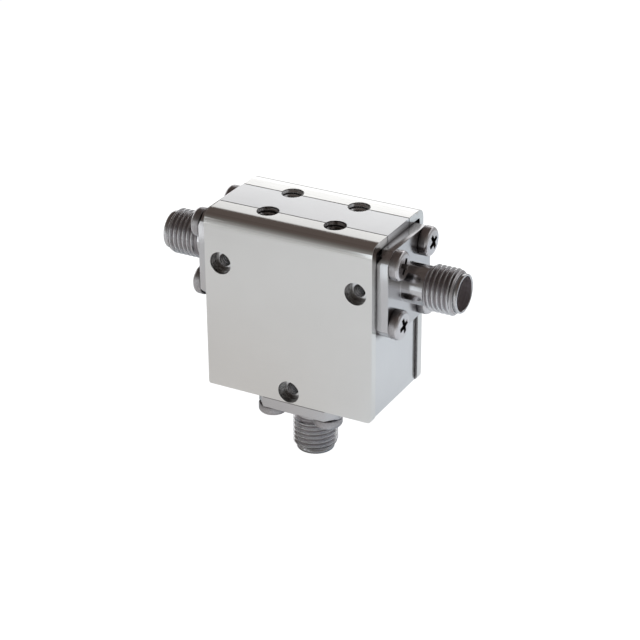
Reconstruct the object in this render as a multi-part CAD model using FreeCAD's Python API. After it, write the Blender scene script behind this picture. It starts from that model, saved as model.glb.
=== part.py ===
import FreeCAD, Part
import math
import os
from FreeCAD import Base

# A three-port coaxial ferrite circulator, in millimetres.
# The origin is the centre of the four tapped holes, on the top face.
# X runs from the left port to the right port, Y from front to rear, Z up.

# Outer body
cover_width = 25.4
cover_height = 26.0
body_depth = 15.2
sheet_thickness = 1.2
bend_outer_radius = 1.5
cover_corner_radius = 0.7
front_left_corner_radius = 0.3

# Housing block between the two covers
cover_overhang = 0.4
top_rib_width = 6.25
seam_gap = 0.15
block_edge_chamfer = 0.4
block_foot = 0.3

# Four tapped holes in the top
top_hole_radius = 1.55
top_hole_spacing_x = 10.2
top_hole_spacing_y = 6.8
top_hole_depth = 4.0

# Three tapped holes behind clearance holes in the front cover
front_hole_inset = 2.45
front_hole_row_height = 18.9
front_hole_low_height = 1.7
front_clearance_radius = 1.6
front_tapped_radius = 0.9
front_tapped_depth = 3.0
drill_point_depth = 0.5

# Coaxial ports
port_drop = 7.6
flange_edge_gap = 0.05
flange_thickness = 2.1
flange_corner_chamfer = 1.6
flange_screw_edge = 2.032
flange_hole_radius = 1.3
neck_radius = 2.75
neck_length = 3.15
thread_major_radius = 3.175
thread_root_radius = 2.78
thread_pitch = 0.7056
thread_turns = 4
thread_lead_length = 0.75
thread_end_land = 0.12
nose_radius = 2.68
nose_length = 0.62
nose_edge_chamfer = 0.15
mouth_radius = 2.35
mouth_depth = 2.4
mouth_chamfer = 0.12

# Dielectric and centre contact of a port
insulator_radius = 2.05
insulator_fit = 0.01
insulator_tail = 3.2
contact_radius = 0.635
contact_socket_radius = 0.475
contact_socket_depth = 2.4
contact_socket_recess = 0.1
contact_slot_width = 0.18
contact_tail_radius = 0.45
contact_tail_length = 1.2
contact_tail_slot_depth = 0.9
contact_fit = 0.01

# Flange screws
screw_head_radius = 2.05
screw_head_side = 0.95
screw_head_height = 1.55
screw_radius = 1.09
screw_length = 5.5
screw_fit = 0.02
screw_hole_spare = 0.4
recess_span = 2.3
recess_width = 0.5
recess_depth = 0.8
recess_turns = (63.0, 17.0, 5.0, 28.0)

# Ferrite junction inside the block
junction_drop = 12.0
cavity_radius = 7.5
cavity_fit = 0.1
channel_half_depth = 1.6
channel_half_height = 2.0
strip_thickness = 0.2
strip_disc_radius = 4.6
strip_arm_width = 2.2
strip_tip_width = 0.8
strip_tip_fit = 0.02
strip_bend_inset = 1.2
dielectric_ring_width = 1.35
ring_fit = 0.05
ferrite_thickness = 2.0
ground_plate_thickness = 1.0
magnet_inset = 0.3
pole_shim_thickness = 0.8

# Places that follow from the sizes
half_depth = body_depth / 2
cover_bottom_z = -cover_height
bottom_z = cover_bottom_z - block_foot
block_half_width = cover_width / 2 - cover_overhang
block_half_depth = half_depth - sheet_thickness
shoulder_z = -sheet_thickness
lip_edge_y = top_rib_width / 2 + seam_gap
front_row_z = cover_bottom_z + front_hole_row_height
front_low_z = cover_bottom_z + front_hole_low_height
half_flange = block_half_depth - flange_edge_gap
half_screw_spacing = half_flange - flange_screw_edge
screw_grip = screw_length - flange_thickness
screw_hole_depth = screw_grip + screw_hole_spare
lead_end = neck_length + thread_lead_length
thread_start = lead_end + thread_end_land
thread_end = thread_start + thread_pitch * thread_turns
land_end = thread_end + thread_end_land
nose_start = land_end + thread_major_radius - nose_radius
barrel_length = nose_start + nose_length
dielectric_face = barrel_length - mouth_depth
layer_radius = cavity_radius - cavity_fit
ferrite_hole_radius = layer_radius - dielectric_ring_width
ferrite_radius = ferrite_hole_radius - ring_fit
magnet_radius = cavity_radius - magnet_inset
plate_y = strip_thickness / 2 + ferrite_thickness
magnet_y = plate_y + ground_plate_thickness
shim_y = block_half_depth - pole_shim_thickness

# Small play that lets a cutting solid pass cleanly through a face
cut_margin = 0.5

UP = Base.Vector(0, 0, 1)
REARWARD = Base.Vector(0, 1, 0)


def box(x_low, x_high, y_low, y_high, z_low, z_high):
    corner = Base.Vector(x_low, y_low, z_low)
    return Part.makeBox(x_high - x_low, y_high - y_low, z_high - z_low, corner)


def cylinder(radius, start, direction, length):
    return Part.makeCylinder(radius, length, Base.Vector(*start), direction)


def extruded(points, direction):
    """A prism from a closed outline of straight edges."""
    corners = [Base.Vector(*point) for point in points]
    wire = Part.makePolygon(corners + corners[:1])
    return Part.Face(wire).extrude(direction)


def turned(profile):
    """A body of revolution about Z from (radius, height) points of a closed outline."""
    corners = [Base.Vector(radius, 0, height) for radius, height in profile]
    wire = Part.makePolygon(corners + corners[:1])
    return Part.Face(wire).revolve(Base.Vector(0, 0, 0), UP, 360)


def drilled_hole(radius, depth, point_depth):
    """A blind hole's cutting solid: its mouth is at z = 0 and it goes down."""
    outline = [
        (0, cut_margin),
        (radius, cut_margin),
        (radius, -depth),
        (0, -depth - point_depth),
    ]
    return turned(outline)


# The three ports: name, direction that the port points, and the seat's centre.
port_axis_z = -port_drop
PORTS = {
    "left": (Base.Vector(-1, 0, 0), Base.Vector(-block_half_width, 0, port_axis_z)),
    "right": (Base.Vector(1, 0, 0), Base.Vector(block_half_width, 0, port_axis_z)),
    "lower": (Base.Vector(0, 0, -1), Base.Vector(0, 0, bottom_z)),
}


def on_port(shape, port):
    """Moves a shape drawn along +Z, with its seat at z = 0, to a port."""
    direction, seat = PORTS[port]
    turn = Base.Rotation(UP, direction)
    placed = shape.copy()
    placed.Placement = Base.Placement(seat, turn).multiply(placed.Placement)
    return placed


def flange_screw_places():
    """Screw centres on the flange, in the port's own drawing frame."""
    signs = ((-1, -1), (1, -1), (1, 1), (-1, 1))
    return [(a * half_screw_spacing, b * half_screw_spacing) for a, b in signs]


def top_hole_places():
    half_x = top_hole_spacing_x / 2
    half_y = top_hole_spacing_y / 2
    return [(x, y) for x in (-half_x, half_x) for y in (-half_y, half_y)]


def front_hole_places():
    half_x = cover_width / 2 - front_hole_inset
    return [(-half_x, front_row_z), (half_x, front_row_z), (0, front_low_z)]


def make_cover(left_corner_radius):
    """The front cover: a folded sheet with a tall face, a bend and a short top lip."""
    half_width = cover_width / 2
    inner_radius = bend_outer_radius - sheet_thickness
    outer_y = -half_depth
    inner_y = outer_y + sheet_thickness
    bend_y = outer_y + bend_outer_radius
    bend_z = -bend_outer_radius
    lip_y = -lip_edge_y

    def at(y, z):
        return Base.Vector(-half_width, y, z)

    def on_bend(radius):
        reach = radius * math.sqrt(0.5)
        return at(bend_y - reach, bend_z + reach)

    outer_arc = Part.Arc(at(outer_y, bend_z), on_bend(bend_outer_radius), at(bend_y, 0))
    inner_arc = Part.Arc(at(bend_y, shoulder_z), on_bend(inner_radius), at(inner_y, bend_z))
    edges = [
        Part.LineSegment(at(outer_y, cover_bottom_z), at(outer_y, bend_z)).toShape(),
        outer_arc.toShape(),
        Part.LineSegment(at(bend_y, 0), at(lip_y, 0)).toShape(),
        Part.LineSegment(at(lip_y, 0), at(lip_y, shoulder_z)).toShape(),
        Part.LineSegment(at(lip_y, shoulder_z), at(bend_y, shoulder_z)).toShape(),
        inner_arc.toShape(),
        Part.LineSegment(at(inner_y, bend_z), at(inner_y, cover_bottom_z)).toShape(),
        Part.LineSegment(at(inner_y, cover_bottom_z), at(outer_y, cover_bottom_z)).toShape(),
    ]
    section = Part.Face(Part.Wire(edges))
    cover = section.extrude(Base.Vector(cover_width, 0, 0))
    for corner_x, radius in ((-half_width, left_corner_radius), (half_width, cover_corner_radius)):
        corner_edges = [
            edge
            for edge in cover.Edges
            if abs(edge.Length - sheet_thickness) < 1e-6
            and abs(edge.CenterOfMass.z - cover_bottom_z) < 1e-6
            and abs(edge.CenterOfMass.x - corner_x) < 1e-6
        ]
        cover = cover.makeFillet(radius, corner_edges)
    through = sheet_thickness + 2 * cut_margin
    for x, y in top_hole_places():
        hole = cylinder(top_hole_radius, (x, y, shoulder_z - cut_margin), UP, through)
        cover = cover.cut(hole)
    return cover


def make_front_cover():
    """The front cover's lower left corner is cut nearly square in the photograph."""
    cover = make_cover(front_left_corner_radius)
    through = sheet_thickness + 2 * cut_margin
    for x, z in front_hole_places():
        start = (x, -half_depth - cut_margin, z)
        cover = cover.cut(cylinder(front_clearance_radius, start, REARWARD, through))
    return cover


def make_rear_cover():
    return make_cover(cover_corner_radius).rotate(Base.Vector(0, 0, 0), UP, 180)


def make_housing_block():
    """The machined block: port seats, tapped holes, round cavity and strip channels."""
    width = block_half_width
    chamfer = block_edge_chamfer
    section = [
        (-width + chamfer, -block_half_depth, bottom_z),
        (width - chamfer, -block_half_depth, bottom_z),
        (width, -block_half_depth, bottom_z + chamfer),
        (width, -block_half_depth, shoulder_z),
        (-width, -block_half_depth, shoulder_z),
        (-width, -block_half_depth, bottom_z + chamfer),
    ]
    block = extruded(section, Base.Vector(0, 2 * block_half_depth, 0))
    rib_half = top_rib_width / 2
    rib_end = cover_width / 2
    rib = box(-rib_end, rib_end, -rib_half, rib_half, shoulder_z, 0)
    block = block.fuse(rib).removeSplitter()

    inner_bend = bend_outer_radius - sheet_thickness
    shoulder_edges = [
        edge
        for edge in block.Edges
        if abs(abs(edge.CenterOfMass.y) - block_half_depth) < 1e-6
        and abs(edge.CenterOfMass.z - shoulder_z) < 1e-6
    ]
    block = block.makeFillet(inner_bend, shoulder_edges)

    cavity = cylinder(
        cavity_radius,
        (0, -half_depth, -junction_drop),
        REARWARD,
        body_depth,
    )
    cuts = [cavity]
    bore_depth = insulator_tail
    bore_radius = insulator_radius + insulator_fit
    for port in PORTS:
        bore = Part.makeCylinder(bore_radius, bore_depth + cut_margin, Base.Vector(0, 0, -bore_depth))
        cuts.append(on_port(bore, port))
        for x, y in flange_screw_places():
            tapped = drilled_hole(screw_radius + screw_fit, screw_hole_depth, drill_point_depth)
            tapped.translate(Base.Vector(x, y, 0))
            cuts.append(on_port(tapped, port))
    inner_x = block_half_width - bore_depth
    cuts.append(
        box(
            -inner_x,
            inner_x,
            -channel_half_depth,
            channel_half_depth,
            port_axis_z - channel_half_height,
            port_axis_z + channel_half_height,
        )
    )
    cuts.append(
        box(
            -channel_half_height,
            channel_half_height,
            -channel_half_depth,
            channel_half_depth,
            bottom_z + bore_depth,
            -junction_drop,
        )
    )
    for x, y in top_hole_places():
        hole = drilled_hole(top_hole_radius, top_hole_depth, drill_point_depth)
        hole.translate(Base.Vector(x, y, 0))
        cuts.append(hole)
    for x, z in front_hole_places():
        hole = drilled_hole(front_tapped_radius, front_tapped_depth, drill_point_depth)
        hole.rotate(Base.Vector(0, 0, 0), Base.Vector(1, 0, 0), 90)
        hole.translate(Base.Vector(x, -block_half_depth, z))
        cuts.append(hole)
    for cut in cuts:
        block = block.cut(cut)
    return block


def barrel_profile():
    """The outside of a port's barrel, as (radius, height above the flange's face)."""
    points = [
        (neck_radius, 0),
        (neck_radius, neck_length),
        (thread_major_radius, lead_end),
    ]
    crest = thread_pitch / 8
    flank = (thread_pitch - 2 * crest) / 2
    for turn in range(thread_turns):
        base = thread_start + turn * thread_pitch
        points.append((thread_major_radius, base))
        points.append((thread_root_radius, base + flank))
        points.append((thread_root_radius, base + flank + crest))
        points.append((thread_major_radius, base + 2 * flank + crest))
    points.append((thread_major_radius, land_end))
    points.append((nose_radius, nose_start))
    points.append((nose_radius, barrel_length - nose_edge_chamfer))
    points.append((nose_radius - nose_edge_chamfer, barrel_length))
    return points


def make_port_shell():
    """Flange and threaded barrel, machined from one bar; the seat is at z = 0."""
    half = half_flange
    cut = half - flange_corner_chamfer
    outline = [
        (-half, -cut, 0),
        (-cut, -half, 0),
        (cut, -half, 0),
        (half, -cut, 0),
        (half, cut, 0),
        (cut, half, 0),
        (-cut, half, 0),
        (-half, cut, 0),
    ]
    flange = extruded(outline, Base.Vector(0, 0, flange_thickness))
    through = flange_thickness + 2 * cut_margin
    for x, y in flange_screw_places():
        flange = flange.cut(cylinder(flange_hole_radius, (x, y, -cut_margin), UP, through))
    face = flange_thickness
    outside = [(0, 0), (neck_radius, 0)]
    outside += [(radius, face + height) for radius, height in barrel_profile()]
    outside.append((0, face + barrel_length))
    shell = flange.fuse(turned(outside)).removeSplitter()
    bore_radius = insulator_radius + insulator_fit
    mouth_floor = face + dielectric_face
    mouth_top = face + barrel_length
    bore = [
        (0, -cut_margin),
        (bore_radius, -cut_margin),
        (bore_radius, mouth_floor),
        (mouth_radius, mouth_floor),
        (mouth_radius, mouth_top - mouth_chamfer),
        (mouth_radius + mouth_chamfer, mouth_top),
        (mouth_radius + mouth_chamfer, mouth_top + cut_margin),
        (0, mouth_top + cut_margin),
    ]
    return shell.cut(turned(bore))


def make_port_insulator():
    """The dielectric sleeve, from the block's strip channel to the mouth's floor."""
    top = flange_thickness + dielectric_face
    length = top + insulator_tail
    sleeve = cylinder(insulator_radius, (0, 0, -insulator_tail), UP, length)
    hole_radius = contact_radius + contact_fit
    start = (0, 0, -insulator_tail - cut_margin)
    return sleeve.cut(cylinder(hole_radius, start, UP, length + 2 * cut_margin))


def make_port_contact():
    """The centre contact: slotted socket at the mouth, slotted tail on the strip."""
    top = flange_thickness + dielectric_face - contact_socket_recess
    tail_root = -insulator_tail
    tail_tip = tail_root - contact_tail_length
    contact = cylinder(contact_radius, (0, 0, tail_root), UP, top - tail_root)
    contact = contact.fuse(cylinder(contact_tail_radius, (0, 0, tail_tip), UP, contact_tail_length))
    contact = contact.removeSplitter()
    socket_floor = top - contact_socket_depth
    over = top + cut_margin
    socket = cylinder(contact_socket_radius, (0, 0, socket_floor), UP, over - socket_floor)
    contact = contact.cut(socket)
    half_slot = contact_slot_width / 2
    reach = contact_radius + cut_margin
    slot_low = socket_floor + half_slot
    contact = contact.cut(box(-reach, reach, -half_slot, half_slot, slot_low, over))
    contact = contact.cut(box(-half_slot, half_slot, -reach, reach, slot_low, over))
    half_strip = strip_thickness / 2 + strip_tip_fit
    under = tail_tip - cut_margin
    tail_floor = tail_tip + contact_tail_slot_depth
    return contact.cut(box(-reach, reach, -half_strip, half_strip, under, tail_floor))


def make_flange_screw(turn):
    """A pan-head screw with a cross recess; the flange's outer face is z = 0."""
    crown_z = screw_head_height
    side_z = screw_head_side
    crown_rise = crown_z - side_z
    crown_radius = (screw_head_radius**2 + crown_rise**2) / (2 * crown_rise)
    mid_x = screw_head_radius / 2
    mid_z = crown_z - crown_radius + math.sqrt(crown_radius**2 - mid_x**2)
    edge = Part.Arc(
        Base.Vector(screw_head_radius, 0, side_z),
        Base.Vector(mid_x, 0, mid_z),
        Base.Vector(0, 0, crown_z),
    )
    corners = [
        Base.Vector(0, 0, crown_z),
        Base.Vector(0, 0, 0),
        Base.Vector(screw_head_radius, 0, 0),
        Base.Vector(screw_head_radius, 0, side_z),
    ]
    sides = [Part.LineSegment(a, b).toShape() for a, b in zip(corners, corners[1:])]
    wire = Part.Wire(sides + [edge.toShape()])
    head = Part.Face(wire).revolve(Base.Vector(0, 0, 0), UP, 360)
    shank = cylinder(screw_radius, (0, 0, -screw_length), UP, screw_length)
    screw = head.fuse(shank).removeSplitter()
    half_span = recess_span / 2
    half_slot = recess_width / 2
    floor = crown_z - recess_depth
    over = crown_z + cut_margin
    cross = box(-half_span, half_span, -half_slot, half_slot, floor, over)
    cross = cross.fuse(box(-half_slot, half_slot, -half_span, half_span, floor, over))
    cross.rotate(Base.Vector(0, 0, 0), UP, turn)
    return screw.cut(cross)


def make_port_screws(port):
    """The four screws of one flange, as separate solids."""
    screws = []
    for place, turn in zip(flange_screw_places(), recess_turns):
        screw = make_flange_screw(turn)
        screw.translate(Base.Vector(place[0], place[1], flange_thickness))
        screws.append(on_port(screw, port))
    return Part.makeCompound(screws)


def make_centre_conductor():
    """The flat Y-shaped strip: a disc with an arm to each port's contact."""
    half = strip_thickness / 2
    wide = strip_arm_width / 2
    narrow = strip_tip_width / 2
    wide_inset = insulator_tail + contact_tail_length + strip_tip_fit
    tip_inset = wide_inset - contact_tail_slot_depth
    bend_x = cavity_radius - strip_bend_inset
    wide_x = block_half_width - wide_inset
    tip_x = block_half_width - tip_inset
    wide_low = port_axis_z - wide
    wide_high = port_axis_z + wide
    narrow_low = port_axis_z - narrow
    narrow_high = port_axis_z + narrow

    along = Base.Vector(bend_x, 0, port_axis_z + junction_drop)
    across = Base.Vector(-along.z, 0, along.x).normalize().multiply(wide)
    slanted = extruded(
        [
            (across.x, -half, -junction_drop + across.z),
            (bend_x + across.x, -half, port_axis_z + across.z),
            (bend_x - across.x, -half, port_axis_z - across.z),
            (-across.x, -half, -junction_drop - across.z),
        ],
        Base.Vector(0, strip_thickness, 0),
    )
    right_arm = [
        slanted,
        box(bend_x, wide_x, -half, half, wide_low, wide_high),
        box(wide_x, tip_x, -half, half, narrow_low, narrow_high),
    ]
    left_arm = [piece.mirror(Base.Vector(0, 0, 0), Base.Vector(1, 0, 0)) for piece in right_arm]
    low_wide = bottom_z + wide_inset
    low_tip = bottom_z + tip_inset
    lower_arm = [
        box(-wide, wide, -half, half, low_wide, -junction_drop),
        box(-narrow, narrow, -half, half, low_tip, low_wide),
    ]
    strip = cylinder(strip_disc_radius, (0, -half, -junction_drop), REARWARD, strip_thickness)
    for piece in right_arm + left_arm + lower_arm:
        strip = strip.fuse(piece)
    return strip.removeSplitter()


def junction_layers():
    """The stack on the rear side of the strip: each layer's name and shape."""
    start = strip_thickness / 2

    def layer(radius, low_y, high_y):
        return cylinder(radius, (0, low_y, -junction_drop), REARWARD, high_y - low_y)

    ferrite = layer(ferrite_radius, start, plate_y)
    ring = layer(layer_radius, start, plate_y)
    ring = ring.cut(layer(ferrite_hole_radius, start - cut_margin, plate_y + cut_margin))
    plate = layer(layer_radius, plate_y, magnet_y)
    magnet = layer(magnet_radius, magnet_y, shim_y)
    shim = layer(layer_radius, shim_y, block_half_depth)
    return {
        "ferrite_disc": ferrite,
        "dielectric_ring": ring,
        "ground_plate": plate,
        "magnet": magnet,
        "pole_shim": shim,
    }


def front_copy(shape):
    """The same layer on the front side of the strip."""
    return shape.mirror(Base.Vector(0, 0, 0), REARWARD)


os.makedirs("parts", exist_ok=True)

nodes = {
    "front_cover": make_front_cover(),
    "rear_cover": make_rear_cover(),
    "housing_block": make_housing_block(),
    "centre_conductor": make_centre_conductor(),
}
for layer, shape in junction_layers().items():
    nodes["rear_" + layer] = shape
    nodes["front_" + layer] = front_copy(shape)
for port in PORTS:
    nodes[port + "_port_shell"] = on_port(make_port_shell(), port)
    nodes[port + "_port_insulator"] = on_port(make_port_insulator(), port)
    nodes[port + "_port_contact"] = on_port(make_port_contact(), port)
    nodes[port + "_port_screws"] = make_port_screws(port)

for name, shape in nodes.items():
    shape.exportStep("parts/" + name + ".step")
    solids = len(shape.Solids)
    print(f"{name}: {solids} solid(s), {shape.Volume:.2f} mm3, valid {shape.isValid()}")
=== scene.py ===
# %% [markdown]
# # A three-port coaxial circulator
# The real object is a machined aluminium block between two folded, plated steel covers. Three
# coaxial ports stand on it, each a square flange with a threaded barrel and four cross-recess
# screws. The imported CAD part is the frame: it says where each piece is, and this script dresses it.

import math

import bmesh
import bpy
from mathutils import Matrix, Vector, noise


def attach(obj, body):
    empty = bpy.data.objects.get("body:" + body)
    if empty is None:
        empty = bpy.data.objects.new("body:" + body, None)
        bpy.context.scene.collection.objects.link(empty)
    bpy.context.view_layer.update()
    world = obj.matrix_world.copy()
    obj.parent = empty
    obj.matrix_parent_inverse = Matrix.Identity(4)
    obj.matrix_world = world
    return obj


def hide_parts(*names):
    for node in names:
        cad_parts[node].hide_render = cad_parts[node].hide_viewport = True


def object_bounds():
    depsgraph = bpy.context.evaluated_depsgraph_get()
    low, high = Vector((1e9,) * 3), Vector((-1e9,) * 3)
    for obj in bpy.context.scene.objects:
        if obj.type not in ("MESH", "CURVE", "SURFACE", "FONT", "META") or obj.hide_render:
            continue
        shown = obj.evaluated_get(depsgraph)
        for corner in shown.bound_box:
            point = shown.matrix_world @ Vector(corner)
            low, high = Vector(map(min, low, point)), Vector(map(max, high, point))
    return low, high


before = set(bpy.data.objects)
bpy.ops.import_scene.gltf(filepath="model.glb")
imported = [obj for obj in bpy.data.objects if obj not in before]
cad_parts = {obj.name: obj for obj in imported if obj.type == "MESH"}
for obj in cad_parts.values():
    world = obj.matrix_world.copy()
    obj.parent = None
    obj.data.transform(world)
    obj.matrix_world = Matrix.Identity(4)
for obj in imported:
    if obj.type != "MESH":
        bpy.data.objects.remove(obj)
cad_low, cad_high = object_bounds()
print("CAD box, mm:", [round(1000 * v, 2) for v in cad_high - cad_low])

# %% [markdown]
# Everything is in metres in the CAD's own frame: the origin is the middle of the four tapped holes
# in the top, X runs to the right port, Y to the rear and Z up. The sizes below are the part's own.
# Each is written in millimetres and multiplied once, so it can be set against a drawing.

# %% Sizes shared by several pieces
MM = 0.001
PORT_HEIGHT = -7.6 * MM
BLOCK_SIDE = 12.3 * MM
BLOCK_FRONT = -6.4 * MM
BLOCK_BOTTOM = -26.3 * MM
TOP_HOLES = [(x * MM, y * MM) for x in (-5.1, 5.1) for y in (-3.4, 3.4)]
FRONT_HOLES = [(-10.25 * MM, -7.1 * MM), (10.25 * MM, -7.1 * MM), (0.0, -24.3 * MM)]

PORTS = {
    port: Matrix.Translation(place) @ Matrix.Rotation(math.radians(turn), 4, "Y")
    for port, place, turn in (
        ("left", (-BLOCK_SIDE, 0, PORT_HEIGHT), -90),
        ("right", (BLOCK_SIDE, 0, PORT_HEIGHT), 90),
        ("lower", (0, 0, BLOCK_BOTTOM), 180),
    )
}
print("ports:", ", ".join(PORTS))

# %% [markdown]
# The camera stands where the photographer's did: found by matching about sixty corners, edges and
# hole centres of the photograph with the same points of the CAD. It is a long lens, a little
# above the top face and to the right of the front, with a very small roll.

# %% Camera
azimuth = math.radians(28.631)
elevation = math.radians(26.817)
roll = math.radians(-0.460)
target = Vector((1.315, -0.879, -15.970)) * MM
distance = 284.11 * MM
back = Vector(
    (
        math.sin(azimuth) * math.cos(elevation),
        -math.cos(azimuth) * math.cos(elevation),
        math.sin(elevation),
    )
)
level_right = Vector((math.cos(azimuth), math.sin(azimuth), 0))
level_up = back.cross(level_right)
right = level_right * math.cos(roll) + level_up * math.sin(roll)
up = back.cross(right)
camera_data = bpy.data.cameras.new("camera")
camera_data.lens = 116.76
camera_data.sensor_width = 36
camera_data.clip_start = 0.01
camera_data.clip_end = 20
camera = bpy.data.objects.new("camera", camera_data)
camera.matrix_world = Matrix(
    (
        (right.x, up.x, back.x, target.x + back.x * distance),
        (right.y, up.y, back.y, target.y + back.y * distance),
        (right.z, up.z, back.z, target.z + back.z * distance),
        (0, 0, 0, 1),
    )
)
bpy.context.collection.objects.link(camera)
bpy.context.scene.camera = camera
bpy.context.scene.view_settings.view_transform = "Standard"
print("camera at, mm:", [round(v / MM, 1) for v in camera.matrix_world.translation])

# %% [markdown]
# Materials and Geometry Nodes are both graphs of nodes, so the same small helpers serve both. The
# first makes a node, sets its options, and fills its inputs with numbers or with the outputs of
# other nodes. The next ones are short forms of it for the kinds of node that come up most.

# %% Helpers for node graphs
MIX_SOCKETS = {"FLOAT": (2, 3, 0), "RGBA": (6, 7, 2)}


def add_node(tree, kind, inputs=None, **options):
    """Adds a node and returns it. inputs maps a socket's name or number to a value or an output."""
    node = tree.nodes.new(kind)
    for option, value in options.items():
        setattr(node, option, value)
    for key, value in (inputs or {}).items():
        if isinstance(value, bpy.types.NodeSocket):
            tree.links.new(value, node.inputs[key])
        else:
            node.inputs[key].default_value = value
    return node


def maths(tree, operation, *values, clamp=False):
    """One Math node; returns its output."""
    return add_node(
        tree, "ShaderNodeMath", dict(enumerate(values)), operation=operation, use_clamp=clamp
    ).outputs[0]


def mix(tree, kind, share, first, second):
    """One Mix node, for numbers (FLOAT) or colours (RGBA); returns its output."""
    first_at, second_at, result_at = MIX_SOCKETS[kind]
    inputs = {0: share, first_at: first, second_at: second}
    return add_node(tree, "ShaderNodeMix", inputs, data_type=kind).outputs[result_at]


def remap(tree, value, low, high, to_low=0.0, to_high=1.0, smooth=False):
    """Maps low to to_low and high to to_high, and holds what lies beyond; returns the output."""
    return add_node(
        tree,
        "ShaderNodeMapRange",
        {"Value": value, "From Min": low, "From Max": high, "To Min": to_low, "To Max": to_high},
        interpolation_type="SMOOTHSTEP" if smooth else "LINEAR",
    ).outputs[0]


def grey_noise(tree, vector, scale, detail, roughness=0.5):
    """One noise texture; returns its grey value."""
    inputs = {"Vector": vector, "Scale": scale, "Detail": detail, "Roughness": roughness}
    return add_node(tree, "ShaderNodeTexNoise", inputs).outputs["Fac"]


def opaque(color):
    """A colour of three numbers with the alpha that sockets and ramps want."""
    return (*color, 1.0)


def empty_tree(owner):
    """Switches on the nodes of a material or a world, and returns its tree with nothing in it."""
    owner.use_nodes = True
    owner.node_tree.nodes.clear()
    return owner.node_tree


def new_group(name, inputs, outputs):
    """A shader node group with named sockets; returns the group and its two end nodes."""
    group = bpy.data.node_groups.new(name, "ShaderNodeTree")
    for socket, (kind, value) in inputs.items():
        made = group.interface.new_socket(name=socket, in_out="INPUT", socket_type=kind)
        if value is not None:
            made.default_value = value
    for socket, kind in outputs.items():
        group.interface.new_socket(name=socket, in_out="OUTPUT", socket_type=kind)
    return group, group.nodes.new("NodeGroupInput"), group.nodes.new("NodeGroupOutput")


# %% [markdown]
# Rolled, ground and turned metal all carry fine parallel lines. One group makes them: a noise
# texture that is squeezed across the lines and stretched along them. The stretch is a vector input,
# so the same group serves lines along X on a sheet and rings round a turned barrel.

# %% Shader group: fine lines left by rolling, grinding or turning
FLOAT = "NodeSocketFloat"
VECTOR = "NodeSocketVector"

fine_lines, entry, leave = new_group(
    "fine_lines",
    {"Vector": (VECTOR, None), "Stretch": (VECTOR, (1, 1, 1)), "Lines per metre": (FLOAT, 8000.0)},
    {"Lines": FLOAT, "Cloud": FLOAT},
)
given = entry.outputs
stretched = add_node(
    fine_lines,
    "ShaderNodeVectorMath",
    {0: given["Vector"], 1: given["Stretch"]},
    operation="MULTIPLY",
).outputs[0]
line_grey = grey_noise(
    fine_lines, stretched, given["Lines per metre"], detail=3.0, roughness=0.6
)
cloud_grey = grey_noise(fine_lines, given["Vector"], scale=180.0, detail=3.0, roughness=0.55)
fine_lines.links.new(line_grey, leave.inputs["Lines"])
fine_lines.links.new(cloud_grey, leave.inputs["Cloud"])
print("group:", fine_lines.name)

# %% [markdown]
# Handling leaves sparse short scratches and specks. This group gives a mask of them. It is used
# sparingly: the photographed object is nearly new.

# %% Shader group: handling marks
SCRATCHES = {"low": 0.68, "high": 0.78}
SPECKS = {"low": 0.72, "high": 0.8}

handling_marks, entry, leave = new_group(
    "handling_marks",
    {"Vector": (VECTOR, None), "Amount": (FLOAT, 0.5)},
    {"Mask": FLOAT},
)
given = entry.outputs
skewed = add_node(
    handling_marks,
    "ShaderNodeMapping",
    {"Vector": given["Vector"], "Rotation": (0.4, 0.9, 0.6), "Scale": (1.0, 9.0, 1.0)},
).outputs[0]
scratches = grey_noise(handling_marks, skewed, scale=900.0, detail=2.0)
scratches = remap(handling_marks, scratches, **SCRATCHES)
specks = grey_noise(handling_marks, given["Vector"], scale=2600.0, detail=1.0)
specks = remap(handling_marks, specks, **SPECKS)
either = maths(handling_marks, "MAXIMUM", scratches, specks)
scaled = maths(handling_marks, "MULTIPLY", either, given["Amount"], clamp=True)
handling_marks.links.new(scaled, leave.inputs["Mask"])
print("group:", handling_marks.name)

# %% [markdown]
# Each metal is one Principled shader with Metallic at 1. Its colour is the metal's reflectance, and
# the groups vary the colour and the roughness a little and feed a Bump node. An attribute painted
# on faces inside holes and recesses darkens them: partly oil and thread burrs, partly painted
# shade. Tight corners get painted shade where a point sees little of its surroundings. The
# attribute "hole_wall" keeps that painted shade off the walls of the holes, and "shaded" adds
# painted shade where a piece overhangs another.

# %% A metal finish
# The colour of painted shade in tight corners.
PAINTED_SHADE = (0.085, 0.076, 0.076)
# The colour of residue and painted shade inside holes and recesses.
RESIDUE_AND_SHADE = (0.10, 0.085, 0.078)
RESIDUE_AND_SHADE_LINES = (0.42, 0.62)
CLOUD_SHARE = 0.5
HANDLING = 0.4
LINE_ROUGHNESS = 0.12
MARK_ROUGHNESS = 0.15
MARK_DEPTH = 0.6


def end_material(tree, color, roughness, height, strength, depth, metallic):
    """Ends a material's tree with a bump, depth mm deep, and one Principled shader."""
    relief = {"Height": height, "Strength": strength, "Distance": depth * MM}
    bump = add_node(tree, "ShaderNodeBump", relief).outputs[0]
    surface = add_node(
        tree,
        "ShaderNodeBsdfPrincipled",
        {"Base Color": color, "Roughness": roughness, "Normal": bump, "Metallic": metallic},
    ).outputs[0]
    add_node(tree, "ShaderNodeOutputMaterial", {"Surface": surface})


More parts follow.
